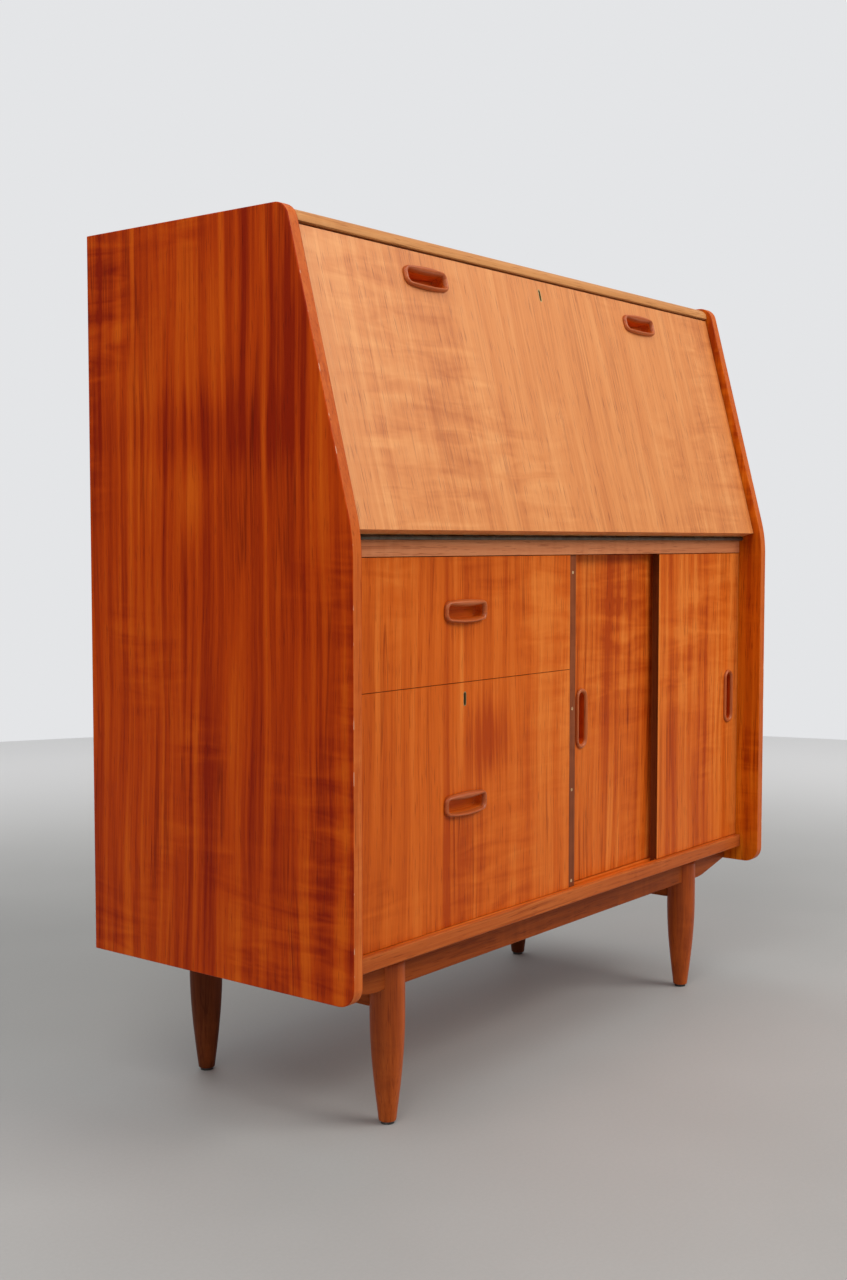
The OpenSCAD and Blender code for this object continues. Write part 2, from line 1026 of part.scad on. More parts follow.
left_side_panel();
right_side_panel();
top_panel();
writing_board();
writing_board_lipping();
bottom_board();
bottom_board_lipping();
divider();
divider_pins();
upper_back_panel();
lower_back_panel();
back_screws();
cupboard_shelf();
shelf_pins();
drawer_rail();
drawer_runners();
front_rail();
back_rail();
side_rails();
front_left_leg();
front_right_leg();
back_left_leg();
back_right_leg();
foot_glides();
frame_blocks();
frame_screws();
pigeonhole_shelf();
pigeonhole_partitions();
fall_stops();
hinge_board_leaf();
hinge_pin();
fall_strike_plate();
fall_front();
fall_pull_left();
fall_pull_right();
hinge_fall_leaf();
fall_lock_case();
fall_key_liner();
fall_lock_bolt();
upper_drawer_front();
upper_drawer_sides();
upper_drawer_back();
upper_drawer_bottom();
upper_drawer_pull();
lower_drawer_front();
lower_drawer_sides();
lower_drawer_back();
lower_drawer_bottom();
lower_drawer_pull();
drawer_lock_case();
drawer_key_liner();
drawer_lock_bolt();
left_door();
left_door_pull();
right_door();
right_door_pull();
small_drawer_left();
small_knob_left();
small_drawer_right();
small_knob_right();
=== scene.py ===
import json
import math

import bmesh
import bpy
from mathutils import Matrix, Vector


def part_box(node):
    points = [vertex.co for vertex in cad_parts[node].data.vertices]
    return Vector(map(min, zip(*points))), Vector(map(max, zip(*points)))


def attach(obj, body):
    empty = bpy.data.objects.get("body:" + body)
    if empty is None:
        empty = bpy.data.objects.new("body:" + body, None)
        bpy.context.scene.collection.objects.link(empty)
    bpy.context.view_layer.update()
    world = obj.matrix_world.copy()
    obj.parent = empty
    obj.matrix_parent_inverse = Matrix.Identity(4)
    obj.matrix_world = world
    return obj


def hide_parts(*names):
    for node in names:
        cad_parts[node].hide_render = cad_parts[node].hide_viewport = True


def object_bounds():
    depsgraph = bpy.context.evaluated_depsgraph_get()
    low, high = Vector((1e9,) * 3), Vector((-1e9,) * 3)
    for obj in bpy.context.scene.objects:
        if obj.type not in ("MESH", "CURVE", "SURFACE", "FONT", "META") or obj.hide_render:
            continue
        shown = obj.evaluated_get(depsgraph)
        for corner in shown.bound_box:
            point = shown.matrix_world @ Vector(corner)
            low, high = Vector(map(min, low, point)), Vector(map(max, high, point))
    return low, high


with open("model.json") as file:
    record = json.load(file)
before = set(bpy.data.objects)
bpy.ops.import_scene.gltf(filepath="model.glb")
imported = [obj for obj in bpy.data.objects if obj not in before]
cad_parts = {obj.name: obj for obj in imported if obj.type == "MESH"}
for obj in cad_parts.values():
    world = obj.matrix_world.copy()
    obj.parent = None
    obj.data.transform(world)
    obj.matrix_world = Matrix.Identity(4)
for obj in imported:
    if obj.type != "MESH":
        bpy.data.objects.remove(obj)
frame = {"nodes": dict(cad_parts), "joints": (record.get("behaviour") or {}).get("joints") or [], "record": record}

cad_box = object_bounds()
NODES = frame["nodes"]
BODY_OF = {n: b for b, members in frame["record"]["behaviour"]["bodies"].items() for n in members}
JOINTS = {j["name"]: j for j in frame["joints"]}
HINGE = Vector(JOINTS["fall_hinge"]["pos_m"])
SLOPE = Vector(JOINTS["fall_bolt_slide"]["axis"])
LEAN = math.atan2(SLOPE.y, SLOPE.z)
MM = 0.001


# ---- Shader helpers ----

class Shader:
    """A material under construction: each method adds a node and returns its output."""

    def __init__(self, name):
        self.mat = bpy.data.materials.new(name)
        self.mat.use_nodes = True
        self.tree = self.mat.node_tree
        self.bsdf = self.tree.nodes["Principled BSDF"]

    def put(self, socket, value):
        if isinstance(value, bpy.types.NodeSocket):
            self.tree.links.new(value, socket)
        else:
            socket.default_value = value

    def add(self, kind, values, **props):
        node = self.tree.nodes.new(kind)
        for key, value in props.items():
            setattr(node, key, value)
        for key, value in values.items():
            self.put(node.inputs[key], value)
        return node

    def math(self, op, a, b=0.0, c=0.0, clamp=False):
        return self.add("ShaderNodeMath", {0: a, 1: b, 2: c}, operation=op, use_clamp=clamp).outputs[0]

    def centred(self, value, size):
        """A value between 0 and 1 as a swing of the given size about 0."""
        return self.math("MULTIPLY_ADD", value, size, -size / 2)

    def vector(self, op, a, b):
        return self.add("ShaderNodeVectorMath", {0: a, 1: b}, operation=op).outputs[0]

    def combine(self, x, y, z):
        return self.add("ShaderNodeCombineXYZ", {0: x, 1: y, 2: z}).outputs[0]

    def noise(self, vec, scale, detail=2.0, rough=0.5, distort=0.0):
        values = {"Vector": vec, "Scale": scale, "Detail": detail, "Roughness": rough,
                  "Distortion": distort}
        return self.add("ShaderNodeTexNoise", values).outputs["Fac"]

    def noise_line(self, w, scale, detail=2.0, rough=0.5):
        values = {"W": w, "Scale": scale, "Detail": detail, "Roughness": rough}
        return self.add("ShaderNodeTexNoise", values, noise_dimensions="1D").outputs["Fac"]

    def span(self, value, low, high, to_low=0.0, to_high=1.0):
        values = {0: value, 1: low, 2: high, 3: to_low, 4: to_high}
        return self.add("ShaderNodeMapRange", values, interpolation_type="SMOOTHSTEP").outputs[0]

    def ramp(self, fac, stops):
        node = self.add("ShaderNodeValToRGB", {"Fac": fac})
        elements = node.color_ramp.elements
        while len(elements) < len(stops):
            elements.new(0.5)
        for element, (place, colour) in zip(elements, stops):
            element.position = place
            element.color = (*colour, 1.0)
        return node.outputs["Color"]

    def blend(self, mode, fac, a, b):
        node = self.tree.nodes.new("ShaderNodeMix")
        node.data_type = "RGBA"
        node.blend_type = mode
        for index, value in ((0, fac), (6, a), (7, b)):
            if isinstance(value, tuple):
                value = (*value, 1.0)
            self.put(node.inputs[index], value)
        return node.outputs[2]

    def finish(self, colour, roughness, height, strength, distance, **fixed):
        self.put(self.bsdf.inputs["Base Color"], colour)
        self.put(self.bsdf.inputs["Roughness"], roughness)
        bump = self.add("ShaderNodeBump", {"Height": height, "Strength": strength,
                                           "Distance": distance})
        self.put(self.bsdf.inputs["Normal"], bump.outputs[0])
        for key, value in fixed.items():
            self.bsdf.inputs[key.replace("_", " ")].default_value = value
        return self.mat


AXES = {"X": 0, "Y": 1, "Z": 2}
# How far one step of seed moves the grain, in metres: across, deep, along
SEED_STEP = (1.37, 0.71, 2.13)
# Layers of the grain: changes per metre (across, deep, along), detail, roughness, distortion
LAYERS = {
    "wander": ((2.6, 2.6, 0.9), 3.0, 0.55, 0.0),
    "ripple": ((14.0, 14.0, 2.2), 2.0, 0.5, 0.0),
    "broad": ((24.0, 24.0, 0.8), 2.0, 0.5, 0.0),
    "middle": ((85.0, 85.0, 1.8), 2.0, 0.55, 0.0),
    "narrow": ((280.0, 280.0, 5.0), 2.0, 0.6, 0.0),
    "fibre": ((1100.0, 1100.0, 26.0), 2.0, 0.6, 0.0),
    "flame": ((9.0, 9.0, 52.0), 2.5, 0.6, 0.6),
    "cloud": ((4.5, 4.5, 2.6), 2.5, 0.55, 0.0),
    "patch": ((5.5, 5.5, 4.0), 2.0, 0.5, 0.0),
    "broken": ((30.0, 30.0, 6.0), 1.0, 0.5, 0.0),
    "pore": ((640.0, 640.0, 34.0), 1.0, 0.5, 0.0),
}
# How far the strands sway sideways, in metres: slow wander and short ripple
WANDER = 0.07
RIPPLE = 0.007
# How much each layer changes the tone
BROAD_SHARE = 0.85
NARROW_SHARE = 0.5
FIBRE_SHARE = 0.3
FLAME_SHARE = 1.7
CLOUD_SHARE = 1.1
# How ragged the rim of a mark is
FRAY = 1.6
# Tones at which the dark, middle and light colours lie
STOPS = (0.12, 0.5, 0.88)
STREAK_TONE = 0.47
STREAK_HALF = 0.03
STREAK_TINT = (0.5, 0.36, 0.3)
PORE_DEPTH = 0.5
PORE_TINT = (0.45, 0.3, 0.22)
WORN_WOOD = (0.78, 0.58, 0.4)


def grain_space(sh, across, depth, along, tilt, seed):
    """Object coordinates in metres as (across, depth, along) the grain."""
    coords = sh.add("ShaderNodeTexCoord", {}).outputs["Object"]
    if tilt:
        coords = sh.add("ShaderNodeMapping", {"Vector": coords, "Rotation": (tilt, 0, 0)}).outputs[0]
    parts = sh.add("ShaderNodeSeparateXYZ", {0: coords}).outputs
    return [sh.math("ADD", parts[AXES[name]], step * seed)
            for name, step in zip((across, depth, along), SEED_STEP)]


def layer(sh, place, name):
    """One noise layer of the grain, between 0 and 1."""
    rate, detail, rough, distort = LAYERS[name]
    return sh.noise(sh.vector("MULTIPLY", place, rate), 1.0, detail, rough, distort)


def teak(name, tones, axes="XYZ", tilt=0.0, seed=0.0, bands=1.0, streaks=0.5, figure=0.5,
         satin=0.36, gloss=0.08, coat=0.0, marks=(), wear=None):
    """Teak veneer or solid teak. tones are dark, middle and light. Each of marks is a soft
    lighter or darker place: across, along, half width, half length, amount; some marks are
    painted shade. wear(sh) masks pale wood."""
    sh = Shader(name)
    a, d, g = grain_space(sh, *axes, tilt=tilt, seed=seed)
    place = sh.combine(a, d, g)
    wander = sh.centred(layer(sh, place, "wander"), WANDER)
    ripple = sh.centred(layer(sh, place, "ripple"), RIPPLE)
    strand = sh.combine(sh.math("ADD", sh.math("ADD", a, wander), ripple), d, g)
    broad, middle, narrow = (layer(sh, strand, kind) for kind in ("broad", "middle", "narrow"))
    fibre, flame, cloud = (layer(sh, place, kind) for kind in ("fibre", "flame", "cloud"))
    patch = sh.span(layer(sh, place, "patch"), 0.42, 0.62)
    flame = sh.math("MULTIPLY", sh.math("SUBTRACT", flame, 0.5), patch)

    tone = 0.5
    for part, share in ((broad, BROAD_SHARE * bands), (middle, bands), (narrow, NARROW_SHARE),
                        (fibre, FIBRE_SHARE)):
        tone = sh.math("MULTIPLY_ADD", sh.math("SUBTRACT", part, 0.5), share, tone)
    tone = sh.math("MULTIPLY_ADD", flame, FLAME_SHARE * figure, tone)
    tone = sh.math("MULTIPLY_ADD", sh.math("SUBTRACT", cloud, 0.5), CLOUD_SHARE * figure, tone)
    for across, along, half_width, half_length, amount in marks:
        u = sh.math("DIVIDE", sh.math("SUBTRACT", a, across + SEED_STEP[0] * seed), half_width)
        v = sh.math("DIVIDE", sh.math("SUBTRACT", g, along + SEED_STEP[2] * seed), half_length)
        reach = sh.math("SQRT", sh.math("ADD", sh.math("MULTIPLY", u, u), sh.math("MULTIPLY", v, v)))
        reach = sh.math("ADD", reach, sh.centred(middle, FRAY))
        tone = sh.math("ADD", tone, sh.span(reach, 0.1, 1.2, amount, 0.0))
    colour = sh.ramp(tone, list(zip(STOPS, tones)))

    line = sh.math("ABSOLUTE", sh.math("SUBTRACT", middle, STREAK_TONE))
    line = sh.span(line, 0.0, STREAK_HALF, 1.0, 0.0)
    line = sh.math("MULTIPLY", line, sh.span(layer(sh, place, "broken"), 0.45, 0.64))
    colour = sh.blend("MULTIPLY", sh.math("MULTIPLY", line, streaks), colour, STREAK_TINT)
    pore = sh.span(layer(sh, place, "pore"), 0.6, 0.72)
    colour = sh.blend("MULTIPLY", sh.math("MULTIPLY", pore, PORE_DEPTH), colour, PORE_TINT)
    if wear:
        colour = sh.blend("MIX", wear(sh), colour, WORN_WOOD)

    rough = sh.math("MULTIPLY_ADD", fibre, 0.12, satin - 0.06)
    rough = sh.math("MULTIPLY_ADD", cloud, 0.08, rough)
    height = sh.math("SUBTRACT", sh.math("MULTIPLY", fibre, 0.5), pore)
    return sh.finish(colour, rough, height, 0.22, 0.0004, Specular_IOR_Level=gloss,
                     Coat_Weight=coat, Coat_Roughness=0.22)


def pale_wood(name, axes, seed, tones):
    return teak(name, tones, axes=axes, seed=seed, bands=0.5, streaks=0.25, figure=0.3,
                satin=0.6, gloss=0.25)


def metal(name, colour, tarnish, roughness, amount=0.5):
    sh = Shader(name)
    coords = sh.add("ShaderNodeTexCoord", {}).outputs["Object"]
    patch = sh.noise(coords, 60.0, 4.0, 0.6)
    fine = sh.noise(sh.vector("MULTIPLY", coords, (300.0, 900.0, 900.0)), 1.0, 3.0, 0.6)
    tint = sh.blend("MIX", sh.math("MULTIPLY", sh.span(patch, 0.35, 0.65), amount), colour, tarnish)
    rough = sh.math("MULTIPLY_ADD", fine, 0.2, roughness)
    return sh.finish(tint, rough, fine, 0.15, 0.0002, Metallic=1.0)


def nylon(name, colour):
    sh = Shader(name)
    coords = sh.add("ShaderNodeTexCoord", {}).outputs["Object"]
    grit = sh.noise(coords, 900.0, 3.0, 0.6)
    scuff = sh.noise(coords, 120.0, 3.0, 0.6)
    tint = sh.blend("MIX", sh.span(scuff, 0.5, 0.75), colour, (0.12, 0.11, 0.1))
    return sh.finish(tint, sh.math("MULTIPLY_ADD", grit, 0.2, 0.45), grit, 0.2, 0.0002)


def edge_wear(outer_x):
    """Pale rubbed patches along the outer arris of a side panel."""
    def mask(sh):
        coords = sh.add("ShaderNodeTexCoord", {}).outputs["Object"]
        x, y, z = sh.add("ShaderNodeSeparateXYZ", {0: coords}).outputs
        near = sh.span(sh.math("ABSOLUTE", sh.math("SUBTRACT", x, outer_x)), 0.0006, 0.0028, 1.0, 0.0)
        patch = sh.span(sh.noise_line(z, 34.0, 3.0, 0.6), 0.6, 0.7)
        return sh.math("MULTIPLY", near, patch)
    return mask


# ---- Materials ----

BAY_MID = sum(corner.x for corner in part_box("upper_drawer_front")) / 2
# Tones of each wood: dark, middle and light. Some sets below carry painted light or shade.
RED = ((0.27, 0.014, 0.0005), (0.5, 0.05, 0.001), (0.66, 0.105, 0.004))
# Lighter copy of RED for the right panel: painted light, the same teak as the left panel.
RED_PAINTED_LIGHT = ((0.36, 0.04, 0.001), (0.6, 0.11, 0.003), (0.74, 0.18, 0.008))
FRONT = ((0.44, 0.055, 0.003), (0.65, 0.122, 0.01), (0.78, 0.205, 0.03))
FALL = ((0.52, 0.14, 0.03), (0.72, 0.255, 0.07), (0.84, 0.36, 0.12))
RAIL = ((0.46, 0.13, 0.045), (0.62, 0.22, 0.09), (0.74, 0.31, 0.14))
# Tones of the top: teak made lighter and tan partly as painted sheen.
NOSE_PARTLY_PAINTED_SHEEN = ((0.44, 0.16, 0.045), (0.6, 0.26, 0.085), (0.74, 0.38, 0.15))
# Solid edge teak, made lighter partly as painted light on the edges that face the lamps.
EDGE_PARTLY_PAINTED_LIGHT = ((0.4, 0.06, 0.008), (0.58, 0.115, 0.018), (0.7, 0.19, 0.04))
PULL = ((0.32, 0.055, 0.009), (0.47, 0.1, 0.018), (0.6, 0.165, 0.035))
DIVIDER = ((0.14, 0.032, 0.01), (0.24, 0.06, 0.02), (0.33, 0.095, 0.033))
# These dark tones are painted shade: the underframe rails are made darker because they sit under the bottom board.
UNDERFRAME_PAINTED_SHADE = ((0.17, 0.03, 0.004), (0.32, 0.062, 0.008), (0.44, 0.1, 0.016))
LEG = ((0.24, 0.035, 0.003), (0.42, 0.075, 0.007), (0.55, 0.12, 0.016))
# SHADE tones are painted shade for parts that stand in shadow: the back legs and the doors' upright edges.
SHADE = ((0.07, 0.013, 0.003), (0.14, 0.03, 0.007), (0.22, 0.05, 0.012))
BEECH = ((0.42, 0.25, 0.12), (0.55, 0.35, 0.18), (0.66, 0.45, 0.26))
PLY = ((0.34, 0.17, 0.07), (0.46, 0.26, 0.12), (0.56, 0.35, 0.18))

# The left panel's last mark darkens its lower part: painted shade.
side_left = teak("teak_side_left", RED, "YXZ", seed=1.0, bands=1.25, streaks=0.7, figure=0.7,
                 marks=((0.03, 0.75, 0.16, 0.05, -0.2), (0.03, 0.68, 0.02, 0.06, 0.3),
                        (-0.1, 0.82, 0.05, 0.14, -0.22), (0.12, 0.9, 0.06, 0.1, -0.14),
                        (0.02, 0.9, 0.07, 0.09, 0.12), (-0.02, 0.3, 0.24, 0.16, -0.1)))
# The right panel's lighter tones are painted light.
side_right_painted_light = teak("teak_side_right", RED_PAINTED_LIGHT, "YXZ", seed=2.0, bands=1.25, streaks=0.7,
                  figure=0.7)
edge_left_painted_light = teak("teak_edge_left", EDGE_PARTLY_PAINTED_LIGHT, "XYZ", seed=3.0, bands=0.5, streaks=0.3, figure=0.3,
                 wear=edge_wear(cad_box[0][0]))
edge_right_painted_light = teak("teak_edge_right", EDGE_PARTLY_PAINTED_LIGHT, "XYZ", seed=4.0, bands=0.5, streaks=0.3, figure=0.3,
                  wear=edge_wear(cad_box[1][0]))
fall_wood = teak("teak_fall", FALL, "XYZ", tilt=LEAN, seed=5.0, bands=0.55, streaks=0.3, figure=0.6,
                 satin=0.34, gloss=0.3, coat=0.08)
drawer_wood = teak("teak_drawers", FRONT, "XYZ", seed=6.0, bands=0.95, streaks=0.6, figure=0.45,
                   marks=((BAY_MID - 0.006, 0.47, 0.006, 0.13, 0.4),
                          (BAY_MID + 0.05, 0.41, 0.06, 0.06, -0.42),
                          (BAY_MID - 0.02, 0.27, 0.07, 0.1, -0.12),
                          (BAY_MID + 0.015, 0.5, 0.004, 0.14, -0.2),
                          (BAY_MID + 0.15, 0.57, 0.06, 0.06, 0.16)))
# The left door's first mark, a dark strip along its right edge next to the right door, is painted shade.
door_left_wood = teak("teak_door_left", FRONT, "XYZ", seed=7.0, bands=1.2, streaks=0.6, figure=0.6,
                      marks=((0.21, 0.44, 0.02, 0.16, -0.2), (0.1, 0.57, 0.06, 0.05, -0.14)))
door_right_wood = teak("teak_door_right", FRONT, "XYZ", seed=8.0, bands=1.2, streaks=0.6, figure=0.65,
                       marks=((0.28, 0.47, 0.06, 0.02, -0.2), (0.3, 0.54, 0.06, 0.05, 0.12)))
board_wood = teak("teak_boards", FRONT, "YZX", seed=9.0, bands=0.8)
# The top's light tan is partly painted sheen.
top_wood_painted_sheen = teak("teak_top_painted_sheen", NOSE_PARTLY_PAINTED_SHEEN, "YZX", seed=9.5, bands=0.5, streaks=0.3, figure=0.3)
inner_wood = teak("teak_inner_front", FRONT, "XYZ", seed=10.0)
upright_wood = teak("teak_uprights", FRONT, "YXZ", seed=10.5)
lipping_wood = teak("teak_lipping", RAIL, "ZYX", seed=11.0, bands=0.6, figure=0.3)
base_lipping_wood = teak("teak_base_lipping", PULL, "ZYX", seed=11.5, bands=0.6, figure=0.3)
divider_wood = teak("teak_divider", DIVIDER, "YXZ", seed=12.0, bands=0.6, figure=0.3)
# The doors' upright edges are dark as painted shade in the gap between the doors.
door_edge_painted_shade = teak("teak_door_edges_painted_shade", SHADE, "YXZ", seed=12.5, bands=0.6, figure=0.3)
# The underframe rails' darker tones are painted shade, not a darker wood.
rail_painted_shade = teak("teak_rails_painted_shade", UNDERFRAME_PAINTED_SHADE, "ZYX", seed=13.0, bands=0.6, figure=0.3)
side_rail_painted_shade = teak("teak_side_rails_painted_shade", UNDERFRAME_PAINTED_SHADE, "ZXY", seed=14.0, bands=0.6, figure=0.3)
leg_wood = teak("teak_legs", LEG, "XYZ", seed=15.0, bands=0.7, figure=0.3, gloss=0.2)
# The back legs' dark wood is painted shade from the desk's body above them.
back_leg_painted_shade = teak("teak_back_legs_painted_shade", SHADE, "XYZ", seed=15.5, bands=0.7, figure=0.3)
pull_wood = teak("teak_pulls", PULL, "ZYX", seed=16.0, bands=0.5, figure=0.2, streaks=0.3, gloss=0.4)
slot_wood = teak("teak_slots", FRONT, "ZYX", seed=16.5, bands=0.6, figure=0.3)
door_pull_wood = teak("teak_door_pulls", PULL, "XYZ", seed=17.0, bands=0.5, figure=0.2, streaks=0.3,
                      gloss=0.4)
# The door pulls' slots take the darker RED tones as painted shade inside the recess.
door_slot_painted_shade = teak("teak_door_slots_painted_shade", RED, "XYZ", seed=17.5, bands=0.6, figure=0.3)
beech_y = pale_wood("beech_along_y", "ZXY", 18.0, BEECH)
beech_x = pale_wood("beech_along_x", "ZYX", 19.0, BEECH)
ply_back = pale_wood("plywood_backs", "XYZ", 20.0, PLY)
ply_floor = pale_wood("plywood_floors", "YZX", 21.0, PLY)
brass = metal("old_brass", (0.5, 0.38, 0.17), (0.16, 0.11, 0.06), 0.35)
# The hinge's very dark metal is partly painted shade from the gap it sits in.
hinge_metal_and_painted_shade = metal("hinge_metal_and_painted_shade", (0.16, 0.14, 0.11), (0.06, 0.05, 0.04), 0.5)
steel = metal("plain_steel", (0.5, 0.5, 0.5), (0.22, 0.2, 0.18), 0.35)
glide_plastic = nylon("dark_nylon", (0.03, 0.027, 0.025))


# ---- Geometry helpers ----

def piece(name, bm, materials, node):
    """Turns bm into an object that stands for a CAD node and rides on its body."""
    for face in bm.faces:
        face.smooth = True
    mesh = bpy.data.meshes.new(name)
    bm.to_mesh(mesh)
    bm.free()
    for material in materials:
        mesh.materials.append(material)
    obj = bpy.data.objects.new(name, mesh)
    bpy.context.scene.collection.objects.link(obj)
    normals = obj.modifiers.new("normals", "WEIGHTED_NORMAL")
    normals.keep_sharp = True
    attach(obj, BODY_OF[node])
    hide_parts(node)
    return obj


WELD = 0.01 * MM
FLAT_ANGLE = math.radians(0.5)
SHARP_ANGLE = math.radians(25)
SHORTEST_EDGE = 2.5 * MM
BEVEL_STEPS = 3


def eased(node, materials, bevel=0.8, pick=None):
    """The CAD node's shape with its long edges rounded over. pick(face) gives a material index."""
    bm = bmesh.new()
    bm.from_mesh(NODES[node].data)
    bmesh.ops.remove_doubles(bm, verts=bm.verts, dist=WELD)
    bmesh.ops.dissolve_limit(bm, angle_limit=FLAT_ANGLE, verts=bm.verts, edges=bm.edges)
    for face in bm.faces:
        face.material_index = 0
    if pick:
        for face in bm.faces:
            face.material_index = pick(face)
    sharp = [e for e in bm.edges if len(e.link_faces) == 2
             and e.calc_face_angle() > SHARP_ANGLE and e.calc_length() > SHORTEST_EDGE]
    bmesh.ops.bevel(bm, geom=sharp, offset=bevel * MM, offset_type="OFFSET",
                    segments=BEVEL_STEPS, profile=0.5, affect="EDGES", clamp_overlap=True)
    return piece(node + "_wood", bm, materials, node)


def keep(node, material):
    """A CAD node whose shape is right as it is: it only gets its finish."""
    mesh = NODES[node].data
    mesh.materials.clear()
    mesh.materials.append(material)


def grid(bm, rings, close_start, close_end):
    """Joins rings of points with quads; each ring is a closed loop."""
    rows = [[bm.verts.new(point) for point in ring] for ring in rings]
    count = len(rows[0])
    for low, high in zip(rows, rows[1:]):
        for i in range(count):
            j = (i + 1) % count
            bm.faces.new((low[i], low[j], high[j], high[i]))
    if close_start:
        bm.faces.new(tuple(reversed(rows[0])))
    if close_end:
        bm.faces.new(tuple(rows[-1]))
    bmesh.ops.recalc_face_normals(bm, faces=bm.faces)


def turned(name, node, material, profile, place, sides=56):
    """A lathe-turned piece: profile is a list of (radius, height) from the bottom up."""
    bm = bmesh.new()
    turns = [2 * math.pi * i / sides for i in range(sides)]
    rings = [[place @ Vector((r * math.cos(t), r * math.sin(t), z)) for t in turns]
             for r, z in profile]
    grid(bm, rings, True, True)
    return piece(name, bm, [material], node)


# ---- Carcass ----

def panel_part(face):
    """Side panels: 1 for the narrow front, top and bottom edges, whose lighter wood is partly painted light, 0 for
    the veneered faces.
    """
    return 1 if abs(face.normal.x) < 0.5 and face.normal.y < 0.9 else 0


eased("left_side_panel", [side_left, edge_left_painted_light], 1.2, panel_part)
eased("right_side_panel", [side_right_painted_light, edge_right_painted_light], 1.2, panel_part)
eased("top_panel", [top_wood_painted_sheen], 0.8)
eased("writing_board", [board_wood], 0.5)
eased("writing_board_lipping", [lipping_wood], 0.6)
eased("bottom_board", [board_wood], 0.5)
eased("bottom_board_lipping", [base_lipping_wood], 1.5)
eased("divider", [divider_wood], 0.8)
eased("cupboard_shelf", [board_wood])
eased("pigeonhole_shelf", [board_wood])
eased("pigeonhole_partitions", [upright_wood])
eased("fall_stops", [divider_wood], 1.0)
for name in ("upper_back_panel", "lower_back_panel"):
    eased(name, [ply_back], 0.4)
for name in ("drawer_rail", "frame_blocks"):
    eased(name, [beech_x], 0.8)
eased("drawer_runners", [beech_y], 0.8)
for name in ("front_rail", "back_rail"):
    eased(name, [rail_painted_shade], 1.5)
eased("side_rails", [side_rail_painted_shade], 1.5)
keep("divider_pins", beech_x)


# ---- Legs ----

FOOT_R = 9.75 * MM
# The foot's rounded rim: distance in from its radius, height above the leg's lower end
FOOT_RIM = ((1.6 * MM, 0.0), (0.5 * MM, 0.3 * MM), (0.0, 1.2 * MM))
CURVE_H = 119.8 * MM
CURVE_STEPS = 28
COLLAR_H = 12 * MM


def leg_profile(low, high, radius):
    """Points up a leg: a rounded foot, a swelling curve and a straight neck."""
    points = [(FOOT_R - inset, low + rise) for inset, rise in FOOT_RIM]
    curve_low = points[-1][1]
    for i in range(1, CURVE_STEPS + 1):
        t = i / CURVE_STEPS
        points.append((FOOT_R + (radius - FOOT_R) * math.sin(math.pi / 2 * t),
                       curve_low + CURVE_H * t))
    points += [(radius, high - COLLAR_H), (radius, high)]
    return points


for node in ("front_left_leg", "front_right_leg", "back_left_leg", "back_right_leg"):
    low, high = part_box(node)
    middle = (low + high) / 2
    turned(node + "_turned", node, leg_wood if "front" in node else back_leg_painted_shade,
           leg_profile(low.z, high.z, (high.y - low.y) / 2),
           Matrix.Translation((middle.x, middle.y, 0)))


# ---- Pulls ----

def rounded_loop(length, width, corner, bow_up, bow_down, straight=16, arc=8):
    """Points round a rounded rectangle whose long sides bow by the given amounts, as (x, z)."""
    run, rise = length / 2 - corner, width / 2 - corner
    points = []
    for turn, side_x, side_z in ((0, 1, 1), (90, -1, 1), (180, -1, -1), (270, 1, -1)):
        for i in range(arc + 1):
            angle = math.radians(turn + 90 * i / arc)
            points.append((side_x * run + corner * math.cos(angle),
                           side_z * rise + corner * math.sin(angle)))
        if turn in (0, 180):
            for i in range(1, straight):
                points.append((side_x * run * (1 - 2 * i / straight), side_z * width / 2))
    bowed = []
    for x, z in points:
        reach = 1 - (2 * x / length) ** 2
        bow = bow_up if z > 0 else bow_down
        bowed.append((x, z + bow * reach * z / (width / 2)))
    return bowed


# Profile of the lip: way in from the outer to the slot's outline, height, both as shares
LIP = ((0.0, -0.06), (0.0, 0.34), (0.06, 0.6), (0.16, 0.84), (0.3, 0.97), (0.45, 1.0), (0.6, 0.94),
       (0.76, 0.78), (0.88, 0.56), (0.96, 0.3), (1.0, 0.0))
# Rings down the slot: share of its depth, share of its outline
SLOT_RINGS = ((0.35, 0.99), (0.7, 0.97), (0.9, 0.93), (1.0, 0.84))
SHELL = 1.2 * MM


def pull(node, place, slot_depth, proud_end, proud_mid, outer, slot, materials):
    """A carved pull: a raised lip round a finger slot, with a thin shell round the slot that
    runs back into the board. place carries (x, 0, z) with -Y outwards; materials are those of
    the lip and of the slot."""
    outer_loop = rounded_loop(*outer)
    slot_loop = rounded_loop(*slot)
    length, width, corner, bow_up, bow_down = slot
    shell_loop = rounded_loop(length + 2 * SHELL, width + 2 * SHELL, corner + SHELL, bow_up, bow_down)
    seat = -LIP[0][1] * proud_end
    rings = [[place @ Vector((x, depth, z)) for x, z in shell_loop]
             for depth in (slot_depth + SHELL, seat)]
    for s, h in LIP:
        ring = []
        for (ox, oz), (sx, sz) in zip(outer_loop, slot_loop):
            reach = max(0.0, 1 - (2 * ox / outer[0]) ** 2) ** 0.8
            proud = proud_end + (proud_mid - proud_end) * reach
            ring.append(place @ Vector((ox + s * (sx - ox), -h * proud, oz + s * (sz - oz))))
        rings.append(ring)
    for depth, shrink in SLOT_RINGS:
        rings.append([place @ Vector((sx * shrink, depth * slot_depth, sz * shrink))
                      for sx, sz in slot_loop])
    bm = bmesh.new()
    grid(bm, rings, True, True)
    for face in bm.faces:
        middle = place.inverted() @ face.calc_center_median()
        face.material_index = 1 if middle.y > 0.1 * slot_depth else 0
    return piece(node + "_carved", bm, materials, node)


def at_face(node, front_node):
    """Middle of a pull, on the front face of the board it sits in."""
    low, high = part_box(node)
    face_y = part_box(front_node)[0].y
    return Matrix.Translation(((low.x + high.x) / 2, face_y, (low.z + high.z) / 2))


